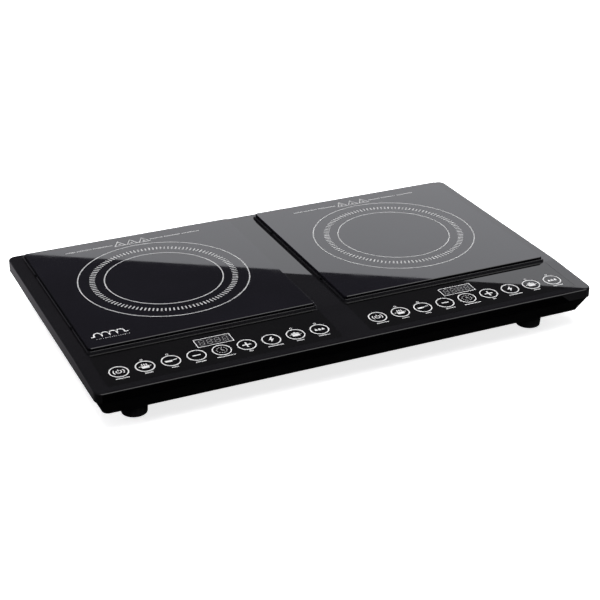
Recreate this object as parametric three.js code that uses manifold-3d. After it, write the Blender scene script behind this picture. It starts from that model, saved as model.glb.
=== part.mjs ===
// Double portable induction hob: a plastic case with two glass cooking plates,
// two rows of nine push keys, two displays, and a coil, fan and boards under each plate.
// Millimetres, +Z up, +X right, the control keys face -Y. The origin is the middle of
// the footprint on the table that the four feet stand on.
import * as THREE from "three";
import { mergeVertices } from "three/addons/utils/BufferGeometryUtils.js";
import Module from "manifold-3d";

const wasm = await Module();
wasm.setup();

// ---- driving dimensions -------------------------------------------------------------
const WIDTH = 640;
const DEPTH = 379;
const HEIGHT = 60;
const CASE_RADIUS = 10;
const CLEAR = 0.3;

const GLASS = { size: 280, thick: 4, x: 160.5, y: 36.2, radius: 2, rim: 0.6 };
const GLASS_BOTTOM = HEIGHT - GLASS.thick;
const SEAL = { outer: 277, inner: 258, thick: 0.4, gap: 0.15 };

const DECK_TOP = 53.5;
const DECK_WALL = 3;
const SKIRT_BOTTOM = 37.5;
const SKIRT_WALL = 2.5;
const EDGE_BEVEL = 2;
const PLINTH = { height: 3.2, foot: 2.8, top: 1.6, corner: 4, topCorner: 3, seat: 1.8, bevel: 1 };
const WINDOW = { size: 244, radius: 8 };

const PANEL_FOLD_Y = -107;
const PANEL_DROP = 4;
const PANEL_SLOPE = Math.atan(PANEL_DROP / (DEPTH / 2 + PANEL_FOLD_Y));
const PANEL_CUT = { bottom: -9, top: 4 };
const FILM = { width: 283.4, height: 68, y: -36.2, thick: 0.5, pocket: 0.8 };
const KEY = {
  pitch: 30.6, shift: 1.1, y: -45.4, radius: 11.7, hole: 12, flange: 12.8, flangeThick: 1.6, count: 9,
};
const DISPLAY = { width: 44.6, height: 18, y: -22.2, deep: 6, sunk: 0.1 };

const TUB = {
  top: 37.2, rim: 1.5, lip: 41, lipInset: 3, bottom: 16.5, edge: 2, inset: 12.5, wall: 2.5, radius: 7,
};
const FLOOR_TOP = TUB.bottom + TUB.wall;
const FOOT = { radius: 16, tip: 15, y: 156.8, left: -267.7, right: 250, peg: 4.4, pegRise: 1.5 };
const FOOT_RECESS = { radius: 3.5, depth: 8, edge: 1 };

const COIL = { inner: 24, outer: 92, thick: 5 };
const CARRIER = { inner: 7.5, outer: 96, bottom: 42.5, top: 46 };
const CARRIER_POST = { reach: 88, radius: 4 };
const SENSOR = { stem: 7, collar: 10, collarThick: 2, tip: 6 };
const BOARD = { width: 150, depth: 120, thick: 1.6, z: 23 };
const BOARD_POST = { x: 68, y: 53, radius: 3 };
const HEAT_SINK = {
  x: -35, y: -30, width: 60, depth: 46, base: 4, height: 15, fins: 7, finPitch: 8, finThick: 2,
};
const CAPACITOR = { x: 45, y: -30, radius: 10, height: 15, edge: 1 };
const CHOKE = { x: 40, y: 30, inner: 7, outer: 15, height: 10 };
const FAN = { size: 92, thick: 18, z: 21.5, bore: 43, x: -60, y: -110, hub: 17, corner: 5, postInset: 5 };
const FAN_MOTOR = { thick: 3, pin: 1.5, armWidth: 5, armThick: 2.5, armTurn: 0.6 };
const ROTOR = {
  radius: 41, low: 4, high: 1.5, blades: 7, bladeWidth: 17, bladeThick: 1.4, pitch: 0.6, bore: 2,
};
const CONTROL = { width: 276, depth: 22, z: -11.4, thick: 1.6, switchSize: 6, switchTop: -5.5 };
const GLAND = {
  x: -160.5, z: 28, radius: 6.5, hole: 4, flange: 9, flangeThick: 2, lip: 2.4, length: 14,
};
const GLAND_PAD = { width: 28, depth: 12, inset: 9 };
const TERMINAL = { width: 34, depth: 14, y: 150, bottom: 20, top: 32 };
const SCREW = { head: 3.6, headThick: 2.4, shank: 1.7, tip: 34, headZ: 17.3 };
const SCREW_SPOTS = [[-294, -170], [294, -170], [-294, 165], [294, 165], [0, -152], [0, 165]];
const BOSS = { radius: 4.5, bottom: 25, seat: 1.5 };
const VENT = { slots: 7, pitch: 11, width: 5, length: 74 };
const REAR_VENT = { x: 70, depth: 30, inset: 12, above: 5, below: 3 };

const SIDES = [["left", -1], ["right", 1]];

// ---- materials ----------------------------------------------------------------------
const look = (color, roughness, metalness = 0) => ({ color, roughness, metalness });
const LOOKS = {
  case: look(0x1b1b1d, 0.45),
  tub: look(0x0e0e0f, 0.6),
  glass: look(0x0c0c10, 0.06),
  seal: look(0x101010, 0.8),
  film: look(0x0b0b0c, 0.3),
  key: look(0x0d0d0e, 0.3),
  display: look(0x17110f, 0.2),
  rubber: look(0x0a0a0a, 0.85),
  copper: look(0xb06a3a, 0.4, 1),
  carrier: look(0x2b2b2b, 0.6),
  ceramic: look(0xdedbd2, 0.6),
  board: look(0x1f5a34, 0.5),
  aluminium: look(0xb8bbbf, 0.35, 1),
  steel: look(0x8e9196, 0.35, 1),
  capacitor: look(0x2a4a8a, 0.4),
  ferrite: look(0x3a3f3c, 0.7),
  terminal: look(0xd9d6cc, 0.5),
};

// ---- helpers ------------------------------------------------------------------------
const hob = new THREE.Group();

function addPart(name, geometry, style, parent = hob) {
  const mesh = new THREE.Mesh(geometry, new THREE.MeshStandardMaterial(style));
  mesh.name = name;
  parent.add(mesh);
  return mesh;
}

function solid(geometry) {
  const bare = geometry.index ? geometry.toNonIndexed() : geometry.clone();
  bare.deleteAttribute("normal");
  bare.deleteAttribute("uv");
  const merged = mergeVertices(bare, 1e-4);
  const vertProperties = new Float32Array(merged.attributes.position.array);
  const triVerts = new Uint32Array(merged.index.array);
  return new wasm.Manifold(new wasm.Mesh({ numProp: 3, vertProperties, triVerts }));
}

function shapeOf(body) {
  const result = body.getMesh();
  const geometry = new THREE.BufferGeometry();
  geometry.setAttribute("position", new THREE.BufferAttribute(result.vertProperties, 3));
  geometry.setIndex(new THREE.BufferAttribute(result.triVerts, 1));
  geometry.computeVertexNormals();
  return geometry;
}

const join = (bodies) => bodies.reduce((whole, body) => whole.add(body));
const cut = (body, tools) => tools.reduce((rest, tool) => rest.subtract(tool), body);

function outline(width, depth, radius, steps = 3) {
  const points = [];
  const corners = [[1, 1, 0], [-1, 1, 1], [-1, -1, 2], [1, -1, 3]];
  for (const [sx, sy, quarter] of corners) {
    for (let i = 0; i <= steps; i += 1) {
      const angle = (quarter + i / steps) * Math.PI / 2;
      const x = sx * (width / 2 - radius) + radius * Math.cos(angle);
      const y = sy * (depth / 2 - radius) + radius * Math.sin(angle);
      points.push(new THREE.Vector2(x, y));
    }
  }
  return points;
}

function prism(points, bottom, top, x = 0, y = 0) {
  const options = { depth: top - bottom, bevelEnabled: false, curveSegments: 8 };
  return new THREE.ExtrudeGeometry(new THREE.Shape(points), options).translate(x, y, bottom);
}

// A closed skin through sections of the same number of points, each at its own height.
function loft(sections) {
  const count = sections[0].points.length;
  const positions = [];
  for (const { points, z } of sections) {
    points.forEach((p) => positions.push(p.x, p.y, z));
  }
  const index = [];
  for (let level = 0; level < sections.length - 1; level += 1) {
    for (let i = 0; i < count; i += 1) {
      const a = level * count + i;
      const b = level * count + (i + 1) % count;
      index.push(a, b, b + count, a, b + count, a + count);
    }
  }
  const last = (sections.length - 1) * count;
  for (const [a, b, c] of THREE.ShapeUtils.triangulateShape(sections[0].points, [])) {
    index.push(a, c, b);
  }
  for (const [a, b, c] of THREE.ShapeUtils.triangulateShape(sections.at(-1).points, [])) {
    index.push(last + a, last + b, last + c);
  }
  const geometry = new THREE.BufferGeometry();
  geometry.setAttribute("position", new THREE.Float32BufferAttribute(positions, 3));
  geometry.setIndex(index);
  geometry.computeVertexNormals();
  return geometry;
}

function box(width, depth, bottom, top, x = 0, y = 0) {
  return new THREE.BoxGeometry(width, depth, top - bottom).translate(x, y, (bottom + top) / 2);
}

function rod(radius, bottom, top, x = 0, y = 0, sides = 16) {
  const shape = new THREE.CylinderGeometry(radius, radius, top - bottom, sides);
  return shape.rotateX(Math.PI / 2).translate(x, y, (bottom + top) / 2);
}

// Turns an outline of [radius, height] pairs about the Z axis.
function turned(profile, sides = 24) {
  const points = profile.map(([r, z]) => new THREE.Vector2(r, z));
  const geometry = new THREE.LatheGeometry(points, sides).rotateX(Math.PI / 2);
  const body = solid(geometry);
  return body.volume() > 0 ? shapeOf(body) : shapeOf(solid(flipped(geometry)));
}

function flipped(geometry) {
  const copy = geometry.clone();
  const old = Array.from(copy.index.array);
  for (let i = 0; i < old.length; i += 3) {
    [old[i + 1], old[i + 2]] = [old[i + 2], old[i + 1]];
  }
  copy.setIndex(old);
  return copy;
}

// ---- the sloped control panel's own frame -------------------------------------------
const panelMatrix = new THREE.Matrix4()
  .makeTranslation(0, PANEL_FOLD_Y, DECK_TOP)
  .multiply(new THREE.Matrix4().makeRotationX(PANEL_SLOPE));

const onPanel = (geometry) => geometry.clone().applyMatrix4(panelMatrix);

const deckHeight = (y) => DECK_TOP - Math.max(0, PANEL_FOLD_Y - y) * Math.tan(PANEL_SLOPE);

const panel = new THREE.Group();
panel.position.set(0, PANEL_FOLD_Y, DECK_TOP);
panel.rotation.x = PANEL_SLOPE;
hob.add(panel);

function keyX(side, number) {
  return side * GLASS.x + KEY.shift + (number - (KEY.count + 1) / 2) * KEY.pitch;
}

const keyNumbers = Array.from({ length: KEY.count }, (_, i) => i + 1);

// ---- upper housing ------------------------------------------------------------------
function deckBlock() {
  const full = outline(WIDTH, DEPTH, CASE_RADIUS);
  const inner = outline(WIDTH - 2 * EDGE_BEVEL, DEPTH - 2 * EDGE_BEVEL, CASE_RADIUS - EDGE_BEVEL);
  const block = solid(loft([
    { points: full, z: SKIRT_BOTTOM },
    { points: full, z: DECK_TOP - EDGE_BEVEL },
    { points: inner, z: DECK_TOP },
  ]));
  const reach = DEPTH;
  const above = solid(onPanel(box(WIDTH + reach, reach, 0, HEIGHT, 0, -reach / 2)));
  const edge = box(WIDTH + reach, 3 * EDGE_BEVEL, -EDGE_BEVEL, EDGE_BEVEL);
  const frontLength = (DEPTH / 2 + PANEL_FOLD_Y) / Math.cos(PANEL_SLOPE);
  const chamfer = solid(onPanel(edge.rotateX(Math.PI / 4).translate(0, -frontLength, EDGE_BEVEL / 2)));
  return cut(block, [above, chamfer]);
}

function cavity() {
  const points = outline(WIDTH - 2 * SKIRT_WALL, DEPTH - 2 * SKIRT_WALL, CASE_RADIUS - SKIRT_WALL);
  const block = solid(prism(points, SKIRT_BOTTOM - 1, DECK_TOP - DECK_WALL));
  const above = box(WIDTH * 2, DEPTH, -DECK_WALL, HEIGHT, 0, -DEPTH / 2 + DECK_WALL);
  return block.subtract(solid(onPanel(above)));
}

// The raised border that frames a glass plate.
function plinthBlock(x) {
  const foot = GLASS.size + 2 * PLINTH.foot;
  const top = GLASS.size + 2 * PLINTH.top;
  const footPoints = outline(foot, foot, PLINTH.corner, 2);
  return solid(loft([
    { points: footPoints, z: DECK_TOP - 1 },
    { points: footPoints, z: DECK_TOP + PLINTH.height - PLINTH.bevel },
    { points: outline(top, top, PLINTH.topCorner, 2), z: DECK_TOP + PLINTH.height },
  ]).translate(x, GLASS.y, 0));
}

// The shallow pocket in the plinth that takes the glass plate and its seal.
function glassPocket(x) {
  const size = GLASS.size + 2 * CLEAR;
  return solid(prism(outline(size, size, GLASS.radius, 2), DECK_TOP + PLINTH.seat, HEIGHT, x, GLASS.y));
}

function panelCuts(side) {
  const x = side * GLASS.x;
  const { bottom, top } = PANEL_CUT;
  const tools = [
    box(FILM.width + CLEAR, FILM.height + CLEAR, -FILM.pocket, top, x, FILM.y),
    box(DISPLAY.width + 2 * CLEAR, DISPLAY.height + 2 * CLEAR, bottom, top, x, DISPLAY.y),
  ];
  keyNumbers.forEach((n) => tools.push(rod(KEY.hole, bottom, top, keyX(side, n), KEY.y)));
  return tools.map((tool) => solid(onPanel(tool)));
}

function upperHousing() {
  const plinths = SIDES.map(([, side]) => plinthBlock(side * GLASS.x));
  const windowPoints = outline(WINDOW.size, WINDOW.size, WINDOW.radius);
  const windows = SIDES.map(([, side]) =>
    solid(prism(windowPoints, DECK_TOP - 2 * DECK_WALL, HEIGHT, side * GLASS.x, GLASS.y)));
  const bosses = SCREW_SPOTS.map(([x, y]) =>
    solid(rod(BOSS.radius, BOSS.bottom, deckHeight(y) - DECK_WALL / 2, x, y, 12)));
  const pilots = SCREW_SPOTS.map(([x, y]) =>
    solid(rod(SCREW.shank + CLEAR, BOSS.bottom - 1, SCREW.tip + 1, x, y, 12)));
  const pockets = SIDES.map(([, side]) => glassPocket(side * GLASS.x));
  const panelTools = SIDES.flatMap(([, side]) => panelCuts(side));
  const shell = join([deckBlock(), ...plinths]).subtract(cavity());
  const whole = join([shell, ...bosses]);
  const tools = [...windows, ...pockets, ...pilots, ...panelTools];
  addPart("upper_housing", shapeOf(cut(whole, tools)), LOOKS.case);
}

// ---- lower housing ------------------------------------------------------------------
const inset = (amount) => outline(WIDTH - 2 * amount, DEPTH - 2 * amount, TUB.radius);

// The tub's outer form, or the space inside it when grow is the wall.
function tubBlock(grow, floor, rim) {
  const sections = [
    { points: inset(TUB.inset + grow), z: floor },
    { points: inset(TUB.inset - TUB.edge + grow), z: floor + TUB.edge },
    { points: inset(rim + grow), z: TUB.top },
  ];
  const lip = prism(inset(TUB.lipInset + grow), TUB.top - 1, TUB.lip + grow);
  return solid(loft(sections)).add(solid(lip));
}

function ventSlots(x, y) {
  const slots = [];
  for (let i = 0; i < VENT.slots; i += 1) {
    const shift = (i - (VENT.slots - 1) / 2) * VENT.pitch;
    slots.push(solid(box(VENT.width, VENT.length, TUB.bottom - 1, FLOOR_TOP + 1, x + shift, y)));
  }
  return slots;
}

function rearSlots(x) {
  const { depth, inset: back, above, below } = REAR_VENT;
  const slots = [];
  for (let i = 0; i < VENT.slots; i += 1) {
    const shift = (i - (VENT.slots - 1) / 2) * VENT.pitch;
    const tool = box(VENT.width, depth, FLOOR_TOP + above, TUB.top - below, x + shift, DEPTH / 2 - back);
    slots.push(solid(tool));
  }
  return slots;
}

function modulePosts(side) {
  const x = side * GLASS.x;
  const posts = [];
  for (let quarter = 0; quarter < 4; quarter += 1) {
    const angle = quarter * Math.PI / 2;
    const px = x + CARRIER_POST.reach * Math.cos(angle);
    const py = GLASS.y + CARRIER_POST.reach * Math.sin(angle);
    posts.push(rod(CARRIER_POST.radius, FLOOR_TOP - 1, CARRIER.bottom - CLEAR, px, py, 10));
  }
  for (const sx of [-1, 1]) {
    for (const sy of [-1, 1]) {
      const boardPost = [x + sx * BOARD_POST.x, GLASS.y + sy * BOARD_POST.y];
      posts.push(rod(BOARD_POST.radius, FLOOR_TOP - 1, BOARD.z - CLEAR, ...boardPost, 8));
      const fanReach = FAN.size / 2 - FAN.postInset;
      const fanPost = [x + FAN.x + sx * fanReach, FAN.y + sy * fanReach];
      posts.push(rod(BOARD_POST.radius, FLOOR_TOP - 1, FAN.z - CLEAR, ...fanPost, 8));
    }
  }
  return posts.map(solid);
}

function footSpots() {
  const spots = [];
  for (const [end, sy] of [["front", -1], ["rear", 1]]) {
    spots.push([`foot_${end}_left`, FOOT.left, sy * FOOT.y]);
    spots.push([`foot_${end}_right`, FOOT.right, sy * FOOT.y]);
  }
  return spots;
}

function lowerHousing() {
  const shell = tubBlock(0, TUB.bottom, TUB.rim).subtract(tubBlock(TUB.wall, FLOOR_TOP, TUB.lipInset));
  const { width, depth, inset: back } = GLAND_PAD;
  const padY = DEPTH / 2 - back;
  const glandPad = solid(box(width, depth, FLOOR_TOP, TUB.top - 1, GLAND.x, padY));
  const glandFlat = solid(box(width, depth, FLOOR_TOP, TUB.top, GLAND.x, padY + depth));
  const screwPosts = SCREW_SPOTS.map(([x, y]) =>
    solid(rod(BOSS.radius + BOSS.seat, FLOOR_TOP - 1, BOSS.bottom - CLEAR, x, y, 12)));
  const posts = SIDES.flatMap(([, side]) => modulePosts(side));
  const whole = join([shell, glandPad, ...screwPosts, ...posts]);
  const headTop = SCREW.headZ + SCREW.headThick + CLEAR;
  const holes = SCREW_SPOTS.flatMap(([x, y]) => [
    solid(rod(SCREW.head + CLEAR, TUB.bottom - 1, headTop, x, y, 12)),
    solid(rod(SCREW.shank + CLEAR, TUB.bottom, BOSS.bottom + 1, x, y, 12)),
  ]);
  const pegs = footSpots().map(([, x, y]) =>
    solid(rod(FOOT.peg + CLEAR, TUB.bottom - 1, FLOOR_TOP + 1, x, y, 12)));
  const glandHole = rod(GLAND.radius + CLEAR, -2 * GLAND.length, 2 * GLAND.length);
  const gland = solid(glandHole.rotateX(Math.PI / 2).translate(GLAND.x, DEPTH / 2, GLAND.z));
  const vents = SIDES.flatMap(([, side]) => [
    ...ventSlots(side * GLASS.x + FAN.x, FAN.y),
    ...rearSlots(side * GLASS.x + REAR_VENT.x),
  ]);
  addPart("lower_housing", shapeOf(cut(whole, [...holes, ...pegs, glandFlat, gland, ...vents])), LOOKS.tub);
}

// ---- cooking plates -----------------------------------------------------------------
function glassPlate(name, x) {
  const full = outline(GLASS.size, GLASS.size, GLASS.radius, 2);
  const topSize = GLASS.size - 2 * GLASS.rim;
  const plate = loft([
    { points: full, z: GLASS_BOTTOM },
    { points: full, z: HEIGHT - GLASS.rim },
    { points: outline(topSize, topSize, GLASS.radius, 2), z: HEIGHT },
  ]);
  addPart(name, plate, LOOKS.glass).position.set(x, GLASS.y, 0);
}

function glassSeal(name, x) {
  const top = GLASS_BOTTOM - SEAL.gap;
  const ring = solid(box(SEAL.outer, SEAL.outer, top - SEAL.thick, top));
  const hole = solid(box(SEAL.inner, SEAL.inner, top - 1, top + 1));
  addPart(name, shapeOf(ring.subtract(hole)), LOOKS.seal).position.set(x, GLASS.y, 0);
}

// ---- control panels -----------------------------------------------------------------
function controlFilm(name, side) {
  const x = side * GLASS.x;
  const sheet = solid(box(FILM.width, FILM.height, -FILM.thick, 0, x, FILM.y));
  const holes = keyNumbers.map((n) => solid(rod(KEY.hole, -2, 2, keyX(side, n), KEY.y)));
  const display = solid(box(DISPLAY.width + CLEAR, DISPLAY.height + CLEAR, -2, 2, x, DISPLAY.y));
  addPart(name, shapeOf(cut(sheet, [...holes, display])), LOOKS.film, panel);
}

function pushKey(name, x) {
  const flangeTop = -DECK_WALL - CLEAR;
  const cap = turned([
    [0, 0], [KEY.radius, 0], [KEY.radius, flangeTop], [KEY.flange, flangeTop],
    [KEY.flange, flangeTop - KEY.flangeThick], [0, flangeTop - KEY.flangeThick],
  ], 16);
  addPart(name, cap, LOOKS.key, panel).position.set(x, KEY.y, 0);
}

function displayModule(name, side) {
  const body = box(DISPLAY.width, DISPLAY.height, -DISPLAY.deep, -DISPLAY.sunk, side * GLASS.x, DISPLAY.y);
  addPart(name, body, LOOKS.display, panel);
}

// A strip of circuit board with one short switch under every key.
function controlBoard(name, side) {
  const x = side * GLASS.x;
  const { width, depth, z, thick, switchSize, switchTop } = CONTROL;
  const strip = solid(box(width, depth, z, z + thick, x, KEY.y));
  const switches = keyNumbers.map((n) =>
    solid(box(switchSize, switchSize, z + thick / 2, switchTop, keyX(side, n), KEY.y)));
  addPart(name, shapeOf(join([strip, ...switches])), LOOKS.board, panel);
}

// ---- heating modules ----------------------------------------------------------------
// The outline of a ring's section, for turned().
const ringSection = (inner, outer, bottom, top) =>
  [[inner, bottom], [outer, bottom], [outer, top], [inner, top], [inner, bottom]];

function coilSet(name, x) {
  const bottom = CARRIER.top + CLEAR;
  const coil = turned(ringSection(COIL.inner, COIL.outer, bottom, bottom + COIL.thick), 28);
  addPart(`coil_${name}`, coil, LOOKS.copper).position.set(x, GLASS.y, 0);
  const disc = turned(ringSection(CARRIER.inner, CARRIER.outer, CARRIER.bottom, CARRIER.top), 28);
  addPart(`coil_carrier_${name}`, disc, LOOKS.carrier).position.set(x, GLASS.y, 0);
  const { stem, collar, collarThick, tip } = SENSOR;
  const end = GLASS_BOTTOM - CLEAR;
  const barrel = turned([[0, CARRIER.bottom], [stem, CARRIER.bottom], [stem, bottom], [collar, bottom],
    [collar, bottom + collarThick], [tip, bottom + collarThick], [tip, end], [0, end]], 16);
  addPart(`temp_sensor_${name}`, barrel, LOOKS.ceramic).position.set(x, GLASS.y, 0);
}

function heatSink(bottom) {
  const { width, depth, base, height, fins, finPitch, finThick } = HEAT_SINK;
  const parts = [solid(box(width, depth, bottom, bottom + base))];
  for (let i = 0; i < fins; i += 1) {
    const x = (i - (fins - 1) / 2) * finPitch;
    parts.push(solid(box(finThick, depth, bottom + base / 2, bottom + height, x)));
  }
  return shapeOf(join(parts));
}

function powerSet(name, x) {
  const top = BOARD.z + BOARD.thick + CLEAR;
  const place = (part, spot) => part.position.set(x + spot.x, GLASS.y + spot.y, 0);
  const plate = box(BOARD.width, BOARD.depth, BOARD.z, BOARD.z + BOARD.thick, 0, 0);
  addPart(`power_board_${name}`, plate, LOOKS.board).position.set(x, GLASS.y, 0);
  place(addPart(`heat_sink_${name}`, heatSink(top), LOOKS.aluminium), HEAT_SINK);
  const { radius, height, edge } = CAPACITOR;
  const can = turned([[0, top], [radius, top], [radius, top + height - edge],
    [radius - edge, top + height], [0, top + height]], 16);
  place(addPart(`capacitor_${name}`, can, LOOKS.capacitor), CAPACITOR);
  const ring = turned(ringSection(CHOKE.inner, CHOKE.outer, top, top + CHOKE.height), 20);
  place(addPart(`choke_${name}`, ring, LOOKS.ferrite), CHOKE);
}

function fanFrame() {
  const { size, thick, z, bore, hub, corner } = FAN;
  const { thick: plateThick, pin, armWidth, armThick, armTurn } = FAN_MOTOR;
  const block = solid(prism(outline(size, size, corner, 2), z, z + thick));
  const hole = solid(rod(bore, z - 1, z + thick + 1, 0, 0, 32));
  const motor = solid(rod(hub, z, z + plateThick, 0, 0, 20));
  const spindle = solid(rod(pin, z + 1, z + thick - plateThick, 0, 0, 8));
  const arms = [0, 1].map((i) =>
    solid(box(2 * bore + 4, armWidth, z, z + armThick).rotateZ(i * Math.PI / 2 + armTurn)));
  return shapeOf(join([block.subtract(hole), motor, spindle, ...arms]));
}

function fanRotor() {
  const { radius, blades, bladeWidth, bladeThick, pitch, bore } = ROTOR;
  const low = FAN.z + ROTOR.low;
  const high = FAN.z + FAN.thick - ROTOR.high;
  const reach = radius - FAN.hub;
  const parts = [solid(rod(FAN.hub, low, high, 0, 0, 20))];
  for (let i = 0; i < blades; i += 1) {
    const blade = new THREE.BoxGeometry(reach + 2, bladeWidth, bladeThick);
    blade.rotateX(pitch).translate(FAN.hub + reach / 2 - 1, 0, (low + high) / 2);
    parts.push(solid(blade.rotateZ((i / blades) * 2 * Math.PI)));
  }
  return shapeOf(join(parts).subtract(solid(rod(bore, low - 1, high - 1, 0, 0, 8))));
}

function fanSet(name, x) {
  addPart(`fan_frame_${name}`, fanFrame(), LOOKS.carrier).position.set(x + FAN.x, FAN.y, 0);
  addPart(`fan_rotor_${name}`, fanRotor(), LOOKS.tub).position.set(x + FAN.x, FAN.y, 0);
}

// ---- mains entry, feet and fasteners ------------------------------------------------
function mainsEntry() {
  const { radius, hole, flange, flangeThick, lip, length } = GLAND;
  const face = DEPTH / 2 - TUB.lipInset + CLEAR;
  const bush = turned([[hole, -length], [radius, -length], [radius, 0], [flange, 0],
    [flange, flangeThick], [hole + 1, lip], [hole, lip], [hole, -length]], 20);
  addPart("cord_gland", bush.rotateX(-Math.PI / 2), LOOKS.rubber).position.set(GLAND.x, face, GLAND.z);
  const block = box(TERMINAL.width, TERMINAL.depth, TERMINAL.bottom, TERMINAL.top);
  addPart("terminal_block", block, LOOKS.terminal).position.set(GLAND.x, TERMINAL.y, 0);
}

function feet() {
  const top = TUB.bottom - CLEAR;
  const pegTop = FLOOR_TOP + FOOT.pegRise;
  const { radius, depth, edge } = FOOT_RECESS;
  for (const [name, x, y] of footSpots()) {
    const foot = turned([
      [0, depth], [radius, depth], [radius, 0], [FOOT.tip - edge, 0], [FOOT.tip, edge], [FOOT.radius, top],
      [FOOT.peg, top], [FOOT.peg, pegTop], [0, pegTop],
    ], 20);
    addPart(name, foot, LOOKS.rubber).position.set(x, y, 0);
  }
}

function caseScrews() {
  SCREW_SPOTS.forEach(([x, y], i) => {
    const top = SCREW.headZ + SCREW.headThick;
    const screw = turned([[0, SCREW.headZ], [SCREW.head, SCREW.headZ], [SCREW.head, top],
      [SCREW.shank, top], [SCREW.shank, SCREW.tip - 1], [0, SCREW.tip]], 10);
    addPart(`case_screw_${i + 1}`, screw, LOOKS.steel).position.set(x, y, 0);
  });
}

upperHousing();
lowerHousing();
for (const [name, side] of SIDES) {
  const x = side * GLASS.x;
  glassPlate(`glass_plate_${name}`, x);
  glassSeal(`glass_seal_${name}`, x);
  controlFilm(`control_film_${name}`, side);
  displayModule(`display_${name}`, side);
  controlBoard(`control_board_${name}`, side);
  keyNumbers.forEach((n) => pushKey(`key_${name}_${n}`, keyX(side, n)));
  coilSet(name, x);
  powerSet(name, x);
  fanSet(name, x);
}
mainsEntry();
feet();
caseScrews();

export default hob;
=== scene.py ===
import math

import bpy
from mathutils import Matrix, Vector


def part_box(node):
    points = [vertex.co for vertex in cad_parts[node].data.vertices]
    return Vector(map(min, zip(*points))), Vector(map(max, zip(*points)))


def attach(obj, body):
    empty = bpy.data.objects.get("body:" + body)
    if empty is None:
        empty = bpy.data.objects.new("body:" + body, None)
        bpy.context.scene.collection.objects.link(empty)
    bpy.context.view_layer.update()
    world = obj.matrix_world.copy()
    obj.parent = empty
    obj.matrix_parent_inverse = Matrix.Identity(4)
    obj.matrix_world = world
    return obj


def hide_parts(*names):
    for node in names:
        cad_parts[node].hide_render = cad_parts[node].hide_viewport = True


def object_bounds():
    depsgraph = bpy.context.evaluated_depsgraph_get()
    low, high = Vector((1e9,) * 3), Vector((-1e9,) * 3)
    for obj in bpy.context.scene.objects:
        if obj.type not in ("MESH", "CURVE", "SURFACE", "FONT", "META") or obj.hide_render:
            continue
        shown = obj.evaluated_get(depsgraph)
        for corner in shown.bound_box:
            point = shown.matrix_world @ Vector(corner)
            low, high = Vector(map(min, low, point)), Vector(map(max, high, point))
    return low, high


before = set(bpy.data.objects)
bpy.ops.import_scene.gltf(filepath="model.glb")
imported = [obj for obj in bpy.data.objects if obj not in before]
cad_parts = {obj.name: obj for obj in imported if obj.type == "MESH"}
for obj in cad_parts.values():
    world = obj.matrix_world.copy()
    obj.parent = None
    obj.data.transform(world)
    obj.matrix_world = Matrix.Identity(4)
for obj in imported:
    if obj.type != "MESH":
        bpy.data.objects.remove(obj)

CAD_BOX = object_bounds()
SIDES = ("left", "right")
ROOT = "root"

# ---- dimensions of the visible pieces, in millimetres ------------------------------------
MM = 0.001
LOW, HIGH = (corner / MM for corner in CAD_BOX)
WIDTH = HIGH.x - LOW.x
DEPTH = HIGH.y - LOW.y
TOP = HIGH.z

# The deck is level behind the fold and slopes down in front of it.
CASE_RADIUS = 10
CAVITY_CUT = 5
EDGE_RADIUS = 2.0
DECK_TOP = 53.5
DECK_WALL = 3
SKIRT_BOTTOM = 37.5
SKIRT_EDGE = 0.5
SKIRT_WALL = 2.5
FOLD_Y = -107
FRONT_DROP = 4
SLOPE = math.atan(FRONT_DROP / (DEPTH / 2 + FOLD_Y))
FOLD_BLEND = 1.2
NEAR = 0.001

# How far a cutter or a joined solid runs past the face it meets.
OVERRUN = 1

PRINT_STEP = 0.05
GLASS_BOTTOM = 56
GLASS_TOP = TOP - PRINT_STEP
GLASS_SIDE = 280
GLASS_CORNER = 2.5
GLASS_BEVEL = 0.55
GLASS_ARRIS = 0.3

# The plinth stands out from the glass by its foot, and by its ledge at the top.
PLINTH_TOP = 56.7
PLINTH_FOOT = 2.8
PLINTH_FOOT_CORNER = 4
PLINTH_TAPER = 0.2
PLINTH_SHOULDER = 1.6
PLINTH_LEDGE = 1.6
PLINTH_LEDGE_CORNER = 3.5
PLINTH_LIP = 0.25
SEAT_BOTTOM = 55.3
SEAT_GAP = 0.3
SEAT_CORNER = 2.8
WINDOW = 244
WINDOW_CORNER = 8
WINDOW_CUT = 8
NOTCH_SIZE = (1.6, 7)
NOTCH_SILL = 0.4
NOTCH_REACH = 142.2
NOTCHES = (114, -40.5)

# Heights on the control strip are measured from the sloped deck.
KEY_COUNT = 9
KEY_Y = -45.4
KEY_RADIUS = 11.7
KEY_EDGE = 0.35
KEY_HOLE = 12
KEY_FLANGE = 12.8
KEY_FLANGE_TOP = -3.3
KEY_BOTTOM = -4.9
FILM_Y = -36.2
FILM_SIZE = (283.4, 68)
FILM_CORNER = 1.2
FILM_THICK = 0.5
FILM_GAP = 0.15
FILM_CUT = (-2, 2)
POCKET_DEPTH = 0.8
POCKET_CORNER = 1.4
POCKET_MOUTH = 0.3
MOUTH_CORNER = 1.5
PANEL_CUT = (-9, 4)
DISPLAY_Y = -22.2
DISPLAY_SIZE = (44.6, 18)
DISPLAY_CORNER = 0.4
DISPLAY_DEEP = 6
DISPLAY_SUNK = 0.1
DISPLAY_BEVEL = 0.2
DISPLAY_GAP = 0.3

TUB_BOTTOM = 16.5
TUB_TOP = 37.2
TUB_LIP = 41
TUB_WALL = 2.5
TUB_RADIUS = 7
TUB_RIM = 1.5
TUB_LIP_INSET = 3
TUB_FOOT_INSET = 10.5
TUB_EDGE = 2.0
FLOOR_TOP = TUB_BOTTOM + TUB_WALL

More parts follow.
